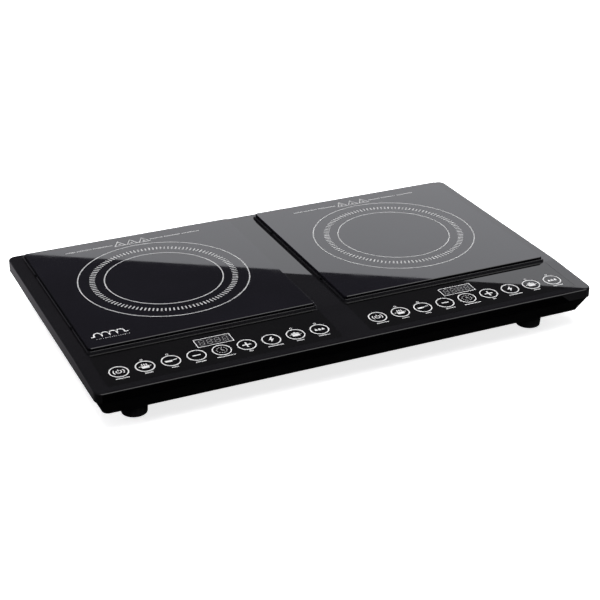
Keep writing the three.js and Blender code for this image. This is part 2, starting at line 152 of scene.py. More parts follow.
SCREW_COUNT = 6
SCREW_SHANK = 2
BOSS_RADIUS = 4.5
BOSS_BOTTOM = 25
PILOT = (24, 35)
POST_RADIUS = 6
POST_TOP = 24.7
RECESS_RADIUS = 3.9
RECESS_TOP = 20
SHANK_TOP = 26
PEG_HOLE = 4.7
GLAND_Z = 28
GLAND_HOLE = 6.8
GLAND_CUT = 30
GLAND_PAD = (28, 12)
GLAND_PAD_INSET = 9
GLAND_PAD_ROOT = 0.5
GLAND_FLAT_OUTSET = 3
GLAND_FLAT_OVER = 0.1
SLOT_WIDTH = 5
SLOT_CORNER = 2.4
SLOT_PITCH = 11
SLOTS = range(-3, 4)
GRILLE_LENGTH = 74
VENT_SHIFT = 70
VENT_INSET = 12
VENT_CUT = 15
VENT_HEIGHT = TUB_TOP - FLOOR_TOP - 8
VENT_Z = (FLOOR_TOP + TUB_TOP + 2) / 2

PANEL = Matrix.Translation((0, FOLD_Y, DECK_TOP)) @ Matrix.Rotation(SLOPE, 4, "X")
FLAT = Matrix.Identity(4)


def shift(x, y, z=0.0):
    return Matrix.Translation((x, y, z))


def raised(matrix, height):
    return matrix @ shift(0, 0, height)


def quarter_turn(steps):
    return [math.radians(90 * k / steps) for k in range(steps + 1)]


def node_box(name):
    low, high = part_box(name)
    return low / MM, high / MM


def node_middle(name):
    low, high = node_box(name)
    return (low + high) / 2


# ---- materials ---------------------------------------------------------------------------
NOISE_LOW, NOISE_HIGH = 0.3, 0.7


class Look:
    """A Principled material whose colour, roughness and bump come from procedural nodes."""

    def __init__(self, name, **sockets):
        self.material = bpy.data.materials.new(name)
        self.material.use_nodes = True
        self.tree = self.material.node_tree
        self.shader = self.tree.nodes["Principled BSDF"]
        self.coords = self.tree.nodes.new("ShaderNodeTexCoord").outputs["Object"]
        for socket, value in sockets.items():
            self.shader.inputs[socket.replace("_", " ").title().replace("Ior", "IOR")].default_value = value

    def node(self, kind, links=None, **settings):
        made = self.tree.nodes.new(kind)
        for key, value in settings.items():
            setattr(made, key, value)
        for socket, value in (links or {}).items():
            if isinstance(value, bpy.types.NodeSocket):
                self.tree.links.new(value, made.inputs[socket])
            else:
                made.inputs[socket].default_value = value
        return made

    def noise(self, size_mm, detail=3.0, rough=0.55, stretch=(1, 1, 1)):
        vector = self.coords
        if stretch != (1, 1, 1):
            vector = self.node("ShaderNodeMapping", {"Vector": vector, "Scale": stretch}).outputs[0]
        links = {"Vector": vector, "Scale": 1 / (size_mm * MM), "Detail": detail, "Roughness": rough}
        return self.node("ShaderNodeTexNoise", links).outputs["Fac"]

    def cells(self, size_mm):
        links = {"Vector": self.coords, "Scale": 1 / (size_mm * MM)}
        return self.node("ShaderNodeTexVoronoi", links, feature="SMOOTH_F1").outputs["Distance"]

    def spread(self, value, low, high, start=NOISE_LOW, end=NOISE_HIGH):
        links = {"Value": value, "From Min": start, "From Max": end, "To Min": low, "To Max": high}
        return self.node("ShaderNodeMapRange", links).outputs["Result"]

    def colours(self, value, *stops):
        ramp = self.node("ShaderNodeValToRGB", {"Fac": value})
        points = ramp.color_ramp.elements
        while len(points) < len(stops):
            points.new(0.5)
        for point, (place, colour) in zip(points, stops):
            point.position = place
            point.color = (*colour, 1)
        self.tree.links.new(ramp.outputs["Color"], self.shader.inputs["Base Color"])

    def drift(self, value, dark, light):
        self.colours(value, (NOISE_LOW, dark), (NOISE_HIGH, light))

    def rough(self, value, low, high):
        self.tree.links.new(self.spread(value, low, high), self.shader.inputs["Roughness"])

    def bump(self, value, depth_mm):
        bumped = self.node("ShaderNodeBump", {"Height": value, "Strength": 1.0, "Distance": depth_mm * MM})
        self.tree.links.new(bumped.outputs["Normal"], self.shader.inputs["Normal"])

    def glow(self, strength, tint=(1, 1, 1)):
        self.shader.inputs["Emission Color"].default_value = (*tint, 1)
        if isinstance(strength, bpy.types.NodeSocket):
            self.tree.links.new(strength, self.shader.inputs["Emission Strength"])
        else:
            self.shader.inputs["Emission Strength"].default_value = strength


def moulded(name, dark, light, rough, grain_mm, depth_mm, patch_mm=60, **sockets):
    """Moulded plastic: slow colour drift, fine grain in the gloss and a grain or orange-peel bump."""
    look = Look(name, **sockets)
    look.drift(look.noise(patch_mm, 5), dark, light)
    look.rough(look.noise(patch_mm / 4, 6), *rough)
    look.bump(look.noise(grain_mm, 3), depth_mm)
    return look


def grey(level, tint=(1.0, 1.0, 1.0)):
    return tuple(level * part for part in tint)


VIOLET = (1.0, 0.97, 1.12)
BLUISH = (0.98, 0.92, 1.45)


def make_looks():
    looks = {}

    def add(key, *moulding, **sockets):
        looks[key] = moulded(*moulding, **sockets)

    # Each line: key, material name, dark and light tone, roughness range, then the sizes of the grain,
    # the bump and, where it isn't 60, the patches in millimetres.
    add("case", "case_gloss", grey(0.0045, VIOLET), grey(0.0062, VIOLET), (0.005, 0.015), 2.6, 0.0001)
    add("base", "base_textured", grey(0.010), grey(0.015), (0.48, 0.62), 0.7, 0.05, specular_ior_level=0.2)
    glass = Look("glass_ceramic", ior=1.53)
    glass.drift(glass.noise(90, 4), grey(0.0028, BLUISH), grey(0.0044, BLUISH))
    glass.rough(glass.noise(35, 6, 0.7), 0.008, 0.028)
    glass.bump(glass.noise(60, 1), 0.0012)
    looks["glass"] = glass
    add("film", "overlay_film", grey(0.0020), grey(0.0032), (0.006, 0.018), 0.6, 0.00003, 40)
    add("key", "key_film", grey(0.0010), grey(0.0018), (0.02, 0.05), 0.6, 0.00006, 12)
    add("lens", "display_lens", grey(0.012, VIOLET), grey(0.017, VIOLET), (0.05, 0.10), 4, 0.001, 15)
    add("ink", "print_white", grey(0.60), grey(0.76), (0.38, 0.52), 0.25, 0.002, 3)
    add("ink_line", "print_grey", grey(0.36), grey(0.46), (0.38, 0.52), 0.25, 0.002, 3)
    add("ink_dim", "segment_unlit", grey(0.16), grey(0.21), (0.3, 0.4), 0.4, 0.002, 3)
    add("rubber", "foot_rubber", grey(0.006), grey(0.011), (0.7, 0.88), 0.5, 0.05, 10, specular_ior_level=0.3)
    add("seal", "silicone_bead", grey(0.007), grey(0.011), (0.5, 0.65), 0.8, 0.03, 8)
    add("moulding", "glass_filled_nylon", grey(0.02), grey(0.03), (0.45, 0.6), 0.6, 0.04, 20)
    add("ceramic", "steatite", (0.62, 0.60, 0.55), (0.72, 0.70, 0.66), (0.45, 0.6), 0.4, 0.02, 4)
    add("ferrite", "ferrite_core", grey(0.035), grey(0.06), (0.55, 0.75), 0.5, 0.05, 5)
    add("terminal", "terminal_nylon", (0.6, 0.58, 0.52), (0.68, 0.66, 0.60), (0.4, 0.5), 0.7, 0.02, 8)
    add("capacitor", "can_sleeve", (0.02, 0.04, 0.16), (0.03, 0.06, 0.22), (0.3, 0.42), 0.6, 0.01, 6)

    copper = Look("litz_copper", metallic=1.0)
    copper.drift(copper.noise(3, 5), (0.50, 0.20, 0.09), (0.72, 0.33, 0.16))
    copper.rough(copper.noise(2, 4), 0.28, 0.48)
    copper.bump(copper.noise(0.5, 2, stretch=(1, 1, 4)), 0.15)
    looks["copper"] = copper

    board = Look("board_lacquer", coat_weight=0.4, coat_roughness=0.2)
    board.colours(board.cells(2.6), (0.15, (0.008, 0.045, 0.018)), (0.55, (0.014, 0.085, 0.032)))
    board.rough(board.noise(8, 4), 0.35, 0.5)
    board.bump(board.cells(2.6), 0.03)
    looks["board"] = board

    for key, tone in (("heat_sink", (0.62, 0.63, 0.65)), ("screw", (0.42, 0.43, 0.45))):
        metal = Look(f"{key}_metal", metallic=1.0)
        metal.drift(metal.noise(9, 5), grey(0.85, tone), tone)
        metal.rough(metal.noise(0.8, 3, stretch=(1, 12, 1)), 0.24, 0.42)
        metal.bump(metal.noise(0.4, 2, stretch=(1, 14, 1)), 0.01)
        looks[key] = metal
    return looks


LOOKS = make_looks()


# ---- mesh helpers ------------------------------------------------------------------------
def make_mesh(name, verts, faces, matrix=FLAT):
    """A mesh object from millimetre points, placed by a millimetre matrix."""
    mesh = bpy.data.meshes.new(name)
    mesh.from_pydata([tuple((matrix @ Vector(v)) * MM) for v in verts], [], faces)
    mesh.validate()
    made = bpy.data.objects.new(name, mesh)
    bpy.context.scene.collection.objects.link(made)
    return made


def outline(width, depth, radius, steps=8):
    """A rounded rectangle, anticlockwise."""
    points = []
    for quarter, (sx, sy) in enumerate(((1, 1), (-1, 1), (-1, -1), (1, -1))):
        for i in range(steps + 1):
            angle = (quarter + i / steps) * math.pi / 2
            points.append((sx * (width / 2 - radius) + radius * math.cos(angle),
                           sy * (depth / 2 - radius) + radius * math.sin(angle)))
    return points


def circle(x, y, radius, sides=64):
    turns = [2 * math.pi * i / sides for i in range(sides)]
    return [(x + radius * math.cos(a), y + radius * math.sin(a)) for a in turns]


def loft_data(sections):
    """Points and faces of a closed skin through (points, height) sections with equal point counts."""
    count = len(sections[0][0])
    verts = [(x, y, z) for points, z in sections for x, y in points]
    faces = [tuple(reversed(range(count)))]
    for level in range(len(sections) - 1):
        for i in range(count):
            a = level * count + i
            b = level * count + (i + 1) % count
            faces.append((a, b, b + count, a + count))
    last = (len(sections) - 1) * count
    faces.append(tuple(range(last, last + count)))
    return verts, faces


def loft(name, sections, matrix=FLAT):
    return make_mesh(name, *loft_data(sections), matrix)


def prism(name, points, bottom, top, matrix=FLAT):
    return loft(name, [(points, bottom), (points, top)], matrix)


def rod(name, x, y, radius, bottom, top, sides=24, matrix=FLAT):
    return prism(name, circle(x, y, radius, sides), bottom, top, matrix)


def slab(name, width, depth, bottom, top, x=0.0, y=0.0, matrix=FLAT):
    points = [(x + sx * width / 2, y + sy * depth / 2) for sx, sy in ((-1, -1), (1, -1), (1, 1), (-1, 1))]
    return prism(name, points, bottom, top, matrix)


def turned(name, profile, matrix=FLAT, sides=64):
    """A closed solid of revolution from (radius, height) pairs that run anticlockwise round the section."""
    verts, rings = [], []
    for radius, height in profile:
        rings.append(range(len(verts), len(verts) + (sides if radius > 0 else 1)))
        if radius > 0:
            verts += [(x, y, height) for x, y in circle(0, 0, radius, sides)]
        else:
            verts.append((0, 0, height))
    faces = []
    closed = profile[0][0] > 0
    pairs = list(zip(rings, rings[1:])) + ([(rings[-1], rings[0])] if closed else [])
    for low, high in pairs:
        for i in range(sides):
            j = (i + 1) % sides
            if len(low) > 1 and len(high) > 1:
                faces.append((low[i], low[j], high[j], high[i]))
            elif len(low) > 1:
                faces.append((low[i], low[j], high[0]))
            elif len(high) > 1:
                faces.append((low[0], high[j], high[i]))
    return make_mesh(name, verts, faces, matrix)


def arc_profile(x, z, radius, start, end, steps=4):
    """Points of an arc in a (radius, height) section, angles in degrees."""
    turns = [math.radians(start + (end - start) * i / steps) for i in range(steps + 1)]
    return [(x + radius * math.cos(a), z + radius * math.sin(a)) for a in turns]


def remesh_from(target):
    evaluated = target.evaluated_get(bpy.context.evaluated_depsgraph_get())
    fresh = bpy.data.meshes.new_from_object(evaluated)
    target.modifiers.clear()
    old = target.data
    target.data = fresh
    bpy.data.meshes.remove(old)


def combine(target, tools, operation="DIFFERENCE"):
    """Adds or removes solids, each tool in turn."""
    for tool in tools:
        change = target.modifiers.new("change", "BOOLEAN")
        change.solver = "MANIFOLD"
        change.operation = operation
        change.object = tool
        bpy.context.view_layer.update()
        remesh_from(target)
        bpy.data.objects.remove(tool)
    return target


def merged(name, objects):
    """One object out of several separate ones."""
    verts, faces = [], []
    for part in objects:
        base = len(verts)
        verts += [tuple(v.co / MM) for v in part.data.vertices]
        faces += [tuple(base + i for i in p.vertices) for p in part.data.polygons]
        bpy.data.objects.remove(part)
    return make_mesh(name, verts, faces)


FLAT_SHARE = 0.001
FLAT_WEIGHT = 16384
SHARP_ANGLE = math.radians(32)


def mark_flats(mesh):
    """Lets broad flat faces keep their own normals, so that only the narrow blends between them shade."""
    facings = [tuple(round(c, 3) for c in face.normal) for face in mesh.polygons]
    areas = {}
    for face, facing in zip(mesh.polygons, facings):
        areas[facing] = areas.get(facing, 0) + face.area
    least = FLAT_SHARE * sum(areas.values())
    weights = [FLAT_WEIGHT if areas[facing] > least else -FLAT_WEIGHT for facing in facings]
    marks = mesh.attributes.new("__mod_weightednormals_faceweight", "INT", "FACE")
    marks.data.foreach_set("value", weights)


def finish_piece(piece, look, body=ROOT, replaces=None):
    """Material, smooth shading with crisp edges, and the piece's place in the frame."""
    piece.data.materials.clear()
    piece.data.materials.append(LOOKS[look].material)
    piece.data.shade_smooth()
    piece.data.set_sharp_from_angle(angle=SHARP_ANGLE)
    mark_flats(piece.data)
    normals = piece.modifiers.new("flat_faces", "WEIGHTED_NORMAL")
    normals.keep_sharp = True
    normals.use_face_influence = True
    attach(piece, body)
    if replaces:
        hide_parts(replaces)


# ---- prints: thin closed plates of ink ---------------------------------------------------
INK_THICK = PRINT_STEP * 0.9
LEAST_MITRE = 0.3


class Print:
    """Flat shapes drawn in a plane, made into one thin plate."""

    def __init__(self):
        self.verts = []
        self.faces = []

    def plate(self, points):
        count, base = len(points), len(self.verts)
        self.verts += [(x, y, z) for z in (0, INK_THICK) for x, y in points]
        self.faces.append(tuple(base + i for i in reversed(range(count))))
        self.faces.append(tuple(base + count + i for i in range(count)))
        for i in range(count):
            low, ahead = base + i, base + (i + 1) % count
            self.faces.append((low, ahead, ahead + count, low + count))

    def band(self, outer, inner):
        """A closed line between two loops of the same number of points."""
        count, base = len(outer), len(self.verts)
        for z in (0, INK_THICK):
            self.verts += [(x, y, z) for x, y in outer]
            self.verts += [(x, y, z) for x, y in inner]
        out_low, in_low, out_high, in_high = (base + count * k for k in range(4))
        for i in range(count):
            j = (i + 1) % count
            self.faces.append((out_high + i, out_high + j, in_high + j, in_high + i))
            self.faces.append((out_low + j, out_low + i, in_low + i, in_low + j))
            self.faces.append((out_low + i, out_low + j, out_high + j, out_high + i))
            self.faces.append((in_low + j, in_low + i, in_high + i, in_high + j))

    def ring(self, x, y, radius, width, sides=96):
        self.band(circle(x, y, radius + width / 2, sides), circle(x, y, radius - width / 2, sides))

    def disc(self, x, y, radius):
        self.plate(circle(x, y, radius, 24))

    def bar(self, x, y, width, height, angle=0.0):
        c, s = math.cos(angle), math.sin(angle)
        corners = ((-1, -1), (1, -1), (1, 1), (-1, 1))
        local = [(sx * width / 2, sy * height / 2) for sx, sy in corners]
        self.plate([(x + c * u - s * v, y + s * u + c * v) for u, v in local])

    def stroke(self, points, width, closed=False):
        """A line of even width through points, mitred at its corners."""
        count = len(points)
        left, right = [], []
        for i, point in enumerate(points):
            before = points[i - 1] if closed or i else None
            after = points[(i + 1) % count] if closed or i < count - 1 else None
            ways = [(Vector(b) - Vector(a)).normalized()
                    for a, b in ((before, point), (point, after)) if a and b]
            way = sum(ways, Vector((0, 0))).normalized()
            side = Vector((-way.y, way.x)) * (width / 2 / max(LEAST_MITRE, way.dot(ways[0])))
            left.append((point[0] + side.x, point[1] + side.y))
            right.append((point[0] - side.x, point[1] - side.y))
        if closed:
            self.band(right, left)
        else:
            self.plate(right + left[::-1])

    def arc(self, x, y, radius, width, start, end, steps=16):
        turns = [math.radians(start + (end - start) * i / steps) for i in range(steps + 1)]
        self.stroke([(x + radius * math.cos(a), y + radius * math.sin(a)) for a in turns], width)

    def dashes(self, x, y, length, dash, gap, height):
        """A row of short bars, centred on x."""
        count = max(1, round((length + gap) / (dash + gap)))
        for i in range(count):
            self.bar(x + (i - (count - 1) / 2) * (dash + gap), y, dash, height)

    def make(self, name, look, matrix, body=ROOT):
        finish_piece(make_mesh(name, self.verts, self.faces, matrix), look, body)


# ---- case --------------------------------------------------------------------------------
def sloped(y, z):
    """Lowers the deck in front of the fold, with a short blend across the fold."""
    ahead = FOLD_Y - y
    if ahead <= -FOLD_BLEND:
        return z
    if ahead >= FOLD_BLEND:
        return z - ahead * math.tan(SLOPE)
    return z - math.tan(SLOPE) * (ahead + FOLD_BLEND) ** 2 / (4 * FOLD_BLEND)


def case_outline(inset, steps=8):
    """The case's plan with extra points where the fold meets its two sides."""
    points = outline(WIDTH - 2 * inset, DEPTH - 2 * inset, CASE_RADIUS - inset, steps)
    extra = [FOLD_Y + FOLD_BLEND * k for k in (1, 0.5, 0, -0.5, -1)]
    half = WIDTH / 2 - inset
    left = [(-half, y) for y in extra]
    right = [(half, y) for y in reversed(extra)]
    corner = len(points) // 4
    return points[:2 * corner] + left + points[2 * corner:] + right


def case_shell():
    """The skirt and the deck, whose top is split along the fold into faces that stay flat."""
    levels = [(SKIRT_EDGE * (1 - math.sin(a)), SKIRT_BOTTOM + SKIRT_EDGE * (1 - math.cos(a)))
              for a in quarter_turn(3)]
    levels += [(EDGE_RADIUS * (1 - math.cos(a)), DECK_TOP - EDGE_RADIUS * (1 - math.sin(a)))
               for a in quarter_turn(8)]
    verts, faces = loft_data([(case_outline(inset), z) for inset, z in levels])
    middle = (SKIRT_BOTTOM + DECK_TOP) / 2
    verts = [(x, y, sloped(y, z) if z > middle else z) for x, y, z in verts]
    top = faces.pop()
    rows = {}
    for index in top:
        x, y, _ = verts[index]
        rows.setdefault(round(y, 3), {})["left" if x < 0 else "right"] = index
    fold_rows = sorted(y for y in rows if abs(y - FOLD_Y) <= FOLD_BLEND + NEAR and len(rows[y]) == 2)
    for low, high in zip(fold_rows, fold_rows[1:]):
        faces.append((rows[low]["left"], rows[low]["right"], rows[high]["right"], rows[high]["left"]))
    faces.append(tuple(i for i in top if verts[i][1] >= fold_rows[-1] - NEAR))
    faces.append(tuple(i for i in top if verts[i][1] <= fold_rows[0] + NEAR))
    return make_mesh("case_top", verts, faces)


def case_cavity():
    heights = (SKIRT_BOTTOM - CAVITY_CUT, DECK_TOP - DECK_WALL)
    verts, faces = loft_data([(case_outline(SKIRT_WALL, 4), z) for z in heights])
    verts = [(x, y, sloped(y, z) if z > SKIRT_BOTTOM else z) for x, y, z in verts]
    top = faces.pop()
    faces.append(tuple(i for i in top if verts[i][1] >= FOLD_Y - NEAR))
    faces.append(tuple(i for i in top if verts[i][1] <= FOLD_Y + NEAR))
    return make_mesh("cavity", verts, faces)


def glass_square(outset, corner):
    """A rounded square that stands out from the edge of a glass plate."""
    side = GLASS_SIDE + 2 * outset
    return outline(side, side, corner)


def plinth(x, y):
    """The low frame round a glass plate, with a softened lip."""
    sections = [(glass_square(PLINTH_FOOT, PLINTH_FOOT_CORNER), DECK_TOP - OVERRUN),
                (glass_square(PLINTH_FOOT - PLINTH_TAPER, PLINTH_FOOT_CORNER), PLINTH_TOP - PLINTH_SHOULDER)]
    for a in quarter_turn(4):
        fall = PLINTH_LIP * (1 - math.sin(a))
        sections.append((glass_square(PLINTH_LEDGE + fall, PLINTH_LEDGE_CORNER), PLINTH_TOP - fall))
    return loft("plinth", sections, shift(x, y))


def film_pocket(x):
    """The sunk bed of the overlay film, with a fine chamfer round its mouth."""
    width, height = (side + 2 * FILM_GAP for side in FILM_SIZE)
    small = outline(width, height, POCKET_CORNER, 4)
    large = outline(width + POCKET_MOUTH, height + POCKET_MOUTH, MOUTH_CORNER, 4)
    sections = [(small, -POCKET_DEPTH), (small, -POCKET_MOUTH / 2), (large, 0), (large, FILM_THICK)]
    return loft("pocket", sections, PANEL @ shift(x, FILM_Y))


def key_places(name):
    return [(n, node_middle(f"key_{name}_{n}").x) for n in range(1, KEY_COUNT + 1)]


def strip_holes(name, x, gap, cut):
    """Cutters for the keys and the display of one control strip, in one object."""
    width, depth = (side + 2 * gap for side in DISPLAY_SIZE)
    holes = [rod("hole", key_x, KEY_Y, KEY_HOLE, *cut, 64, PANEL) for _, key_x in key_places(name)]
    holes.append(slab("hole", width, depth, *cut, x, DISPLAY_Y, PANEL))
    return merged("holes", holes)


def foot_spots():
    return {f"{end}_{name}": node_middle(f"foot_{end}_{name}") for end in ("front", "rear") for name in SIDES}


def screw_spots():
    return [node_middle(f"case_screw_{n}") for n in range(1, SCREW_COUNT + 1)]


def build_case():
    case = case_shell()
    spots = {name: node_middle(f"glass_plate_{name}").xy for name in SIDES}
    combine(case, [case_cavity()])
    combine(case, [plinth(*spot) for spot in spots.values()], "UNION")
    window = outline(WINDOW, WINDOW, WINDOW_CORNER)
    seat = glass_square(SEAT_GAP, SEAT_CORNER)
    combine(case, [prism("window", window, DECK_TOP - WINDOW_CUT, TOP, shift(*spot))
                   for spot in spots.values()])
    combine(case, [prism("seat", seat, SEAT_BOTTOM, TOP, shift(*spot)) for spot in spots.values()])
    notches = [slab("notch", *NOTCH_SIZE, DECK_TOP + NOTCH_SILL, PLINTH_TOP + OVERRUN,
                    spot.x - NOTCH_REACH, y)
               for spot in spots.values() for y in NOTCHES]
    combine(case, [merged("notches", notches)])
    for name, spot in spots.items():
        combine(case, [film_pocket(spot.x), strip_holes(name, spot.x, DISPLAY_GAP, PANEL_CUT)])
    bosses = [rod("boss", spot.x, spot.y, BOSS_RADIUS, BOSS_BOTTOM,
                  sloped(spot.y, DECK_TOP) - DECK_WALL / 2, 32)
              for spot in screw_spots()]
    combine(case, bosses, "UNION")
    pilots = [rod("pilot", spot.x, spot.y, SCREW_SHANK, *PILOT) for spot in screw_spots()]
    combine(case, [merged("pilots", pilots)])
    finish_piece(case, "case", replaces="upper_housing")


# ---- base tub ----------------------------------------------------------------------------
def tub_outline(inset):
    return outline(WIDTH - 2 * inset, DEPTH - 2 * inset, TUB_RADIUS)


def tub_block(name, grow, floor, rim):
    """The tub's outer form, or its inside when grow is the wall."""
    sections = [(tub_outline(TUB_FOOT_INSET + grow + TUB_EDGE * (1 - math.sin(a))),
                 floor + TUB_EDGE * (1 - math.cos(a))) for a in quarter_turn(6)]
    block = loft(name, sections + [(tub_outline(rim + grow), TUB_TOP)])
    lip = prism("lip", tub_outline(TUB_LIP_INSET + grow), TUB_TOP - OVERRUN, TUB_LIP + grow)
    return combine(block, [lip], "UNION")


def slot_cutters():
    """Cutters for the grille under each fan and for the vents in the rear wall."""
    slots = []
    grille = outline(SLOT_WIDTH, GRILLE_LENGTH, SLOT_CORNER, 5)
    vent = outline(SLOT_WIDTH, VENT_HEIGHT, SLOT_CORNER, 5)
    upright = Matrix.Rotation(math.pi / 2, 4, "X")
    for name in SIDES:
        fan = node_middle(f"fan_frame_{name}")
        vents_x = node_middle(f"glass_plate_{name}").x + VENT_SHIFT
        for i in SLOTS:
            place = shift(fan.x + i * SLOT_PITCH, fan.y)
            slots.append(prism("slot", grille, TUB_BOTTOM - OVERRUN, FLOOR_TOP + OVERRUN, place))
            place = shift(vents_x + i * SLOT_PITCH, DEPTH / 2 - VENT_INSET, VENT_Z) @ upright
            slots.append(prism("slot", vent, -VENT_CUT, VENT_CUT, place))
    return slots


def build_base():
    base = tub_block("case_base", 0, TUB_BOTTOM, TUB_RIM)
    combine(base, [tub_block("inside", TUB_WALL, FLOOR_TOP, TUB_LIP_INSET)])
    gland_x = node_middle("cord_gland").x
    pad = slab("pad", *GLAND_PAD, FLOOR_TOP - GLAND_PAD_ROOT, TUB_TOP - OVERRUN,
               gland_x, DEPTH / 2 - GLAND_PAD_INSET)
    combine(base, [pad], "UNION")
    combine(base, [slab("flat", *GLAND_PAD, FLOOR_TOP, TUB_TOP + GLAND_FLAT_OVER,
                        gland_x, DEPTH / 2 + GLAND_FLAT_OUTSET)])
    posts = [rod("post", spot.x, spot.y, POST_RADIUS, FLOOR_TOP - OVERRUN, POST_TOP, 32)
             for spot in screw_spots()]
    combine(base, posts, "UNION")
    recesses = [rod("recess", spot.x, spot.y, RECESS_RADIUS, TUB_BOTTOM - OVERRUN, RECESS_TOP, 32)
                for spot in screw_spots()]
    combine(base, [merged("recesses", recesses)])
    shanks = [rod("shank", spot.x, spot.y, SCREW_SHANK, TUB_BOTTOM, SHANK_TOP) for spot in screw_spots()]
    combine(base, [merged("shanks", shanks)])
    cuts = slot_cutters()
    for spot in foot_spots().values():
        cuts.append(rod("peg", spot.x, spot.y, PEG_HOLE, TUB_BOTTOM - OVERRUN, FLOOR_TOP + OVERRUN, 32))
    bore = shift(gland_x, DEPTH / 2, GLAND_Z) @ Matrix.Rotation(math.pi / 2, 4, "X")
    cuts.append(rod("gland", 0, 0, GLAND_HOLE, -GLAND_CUT, GLAND_CUT, 48, bore))
    combine(base, [merged("slots", cuts)])
    finish_piece(base, "base", replaces="lower_housing")


# ---- glass, film, keys, display ----------------------------------------------------------
def build_glass(name):
    """A square plate with a ground bevel round its top and a fine one round its underside."""
    middle = node_middle(f"glass_plate_{name}")
    levels = [(GLASS_ARRIS, GLASS_BOTTOM), (0, GLASS_BOTTOM + GLASS_ARRIS),
              (0, GLASS_TOP - GLASS_BEVEL), (GLASS_BEVEL, GLASS_TOP)]
    sections = [(glass_square(-inset, GLASS_CORNER), z) for inset, z in levels]
    plate = loft(f"glass_{name}", sections, shift(middle.x, middle.y))
    finish_piece(plate, "glass", replaces=f"glass_plate_{name}")


def build_film(name):
    x = node_middle(f"control_film_{name}").x
    sheet = prism(f"film_{name}", outline(*FILM_SIZE, FILM_CORNER), -FILM_THICK, 0, PANEL @ shift(x, FILM_Y))
    combine(sheet, [strip_holes(name, x, FILM_GAP, FILM_CUT)])
    finish_piece(sheet, "film", replaces=f"control_film_{name}")


def build_key(name, n, x):
    profile = [(0, KEY_BOTTOM), (KEY_FLANGE, KEY_BOTTOM), (KEY_FLANGE, KEY_FLANGE_TOP),
               (KEY_RADIUS, KEY_FLANGE_TOP)]
    profile += arc_profile(KEY_RADIUS - KEY_EDGE, -PRINT_STEP - KEY_EDGE, KEY_EDGE, 0, 90)
    profile += [(0, -PRINT_STEP)]
    cap = turned(f"keycap_{name}_{n}", profile, PANEL @ shift(x, KEY_Y))
    finish_piece(cap, "key", f"key_{name}_{n}", replaces=f"key_{name}_{n}")


# Key symbols, in millimetres round the key's middle.
def power_mark(p):
    p.arc(0, 0, 3.0, 1.15, 128, 412, 24)
    p.bar(0, 2.9, 1.15, 3.4)
    for start in (-38, 142):
        p.arc(0, 0, 6.2, 1.1, start, start + 76)


def boil_mark(p):
    p.plate([(-5.0, 0.6), (-4.0, -4.2), (4.0, -4.2), (5.0, 0.6)])
    p.bar(-6.4, -0.1, 1.8, 1.1)
    p.bar(6.4, -0.1, 1.8, 1.1)
    for x in (-2.6, 0, 2.6):
        p.stroke([(x - 0.5, 1.6), (x + 0.5, 2.8), (x - 0.5, 3.9), (x + 0.5, 5.1)], 1.0)


def fry_mark(p):
    p.plate([(-7.4, 1.3), (-6.4, -1.9), (1.0, -1.9), (2.0, 1.3)])
    p.stroke([(2.4, 0.6), (4.6, 1.3), (7.6, 1.6)], 1.3)


def minus_mark(p):
    p.bar(0, 0, 9.6, 1.9)


def timer_mark(p):
    for k in range(12):
        a = 2 * math.pi * (k + 0.5) / 12
        p.bar(5.9 * math.cos(a), 5.9 * math.sin(a), 1.3, 1.5, a)
    p.stroke([(0, 3.4), (0, -0.2), (2.6, -1.6)], 1.1)


def plus_mark(p):
    a, b = 0.95, 5.4
    p.plate([(a, -b), (a, -a), (b, -a), (b, a), (a, a), (a, b),
             (-a, b), (-a, a), (-b, a), (-b, -a), (-a, -a), (-a, -b)])


def bolt_mark(p):
    p.plate([(1.2, 5.4), (-3.7, -0.7), (-0.7, -0.7), (-1.6, -5.4), (3.7, 1.1), (0.7, 1.1), (2.6, 5.4)])


def stew_mark(p):
    p.plate([(-4.9, 0.6), (-4.5, -4.1), (4.5, -4.1), (4.9, 0.6)])
    p.plate([(-5.4, 1.2), (5.4, 1.2), (3.9, 3.0), (-3.9, 3.0)])
    p.bar(0, 4.1, 2.0, 1.3)
    p.bar(-6.5, -0.8, 1.8, 1.1)
    p.bar(6.5, -0.8, 1.8, 1.1)


def warm_mark(p):
    for x in (-4.4, 0, 4.4):
        p.plate([(x - 1.8, -2.2), (x + 1.8, -2.2), (x + 1.5, 0.1), (x, 2.6), (x - 1.5, 0.1)])


MARKS = (power_mark, boil_mark, fry_mark, minus_mark, timer_mark, plus_mark, bolt_mark, stew_mark, warm_mark)
GREY_MARK = 5
LAMP_KEYS = (2, 3, 8, 9)
LAMP_RISE = 14.0
LAMP_RADIUS, LAMP_LINE = 1.35, 0.6
CAPTION_LENGTHS = (15, 9.5, 7, 13, 22.5, 5, 18, 9, 14)
CAPTION_DROP = 14.3
CAPTION_DASH = (1.15, 0.45, 1.7)
CAPTION_SINK = 0.01
KEY_RING_INSET = 0.95
KEY_RING_LINE = 1.4
FRAME_INSET = 0.5
FRAME_LINE = 0.95
DIGIT_COUNT = 4
DIGIT_PITCH = 9.6
DIGIT_SIZE = (5.4, 10.2)
DIGIT_LINE = 1.15
DIGIT_LEAN = 0.10
# How much shorter than half a digit's side each segment is, and how long its points are.
ROW_SHORT, ROW_POINT = 0.75, 0.55
COLUMN_SHORT, COLUMN_POINT = 0.3, 0.5
COLON_RISE, COLON_RADIUS = 1.9, 0.5


def print_key(name, n, x):
    place = raised(PANEL @ shift(x, KEY_Y), -PRINT_STEP)
    ring = Print()
    ring.ring(0, 0, KEY_RADIUS - KEY_RING_INSET, KEY_RING_LINE)
    ring.make(f"keyring_{name}_{n}", "ink", place, f"key_{name}_{n}")
    mark = Print()
    MARKS[n - 1](mark)
    mark.make(f"keymark_{name}_{n}", "ink_line" if n == GREY_MARK else "ink", place, f"key_{name}_{n}")


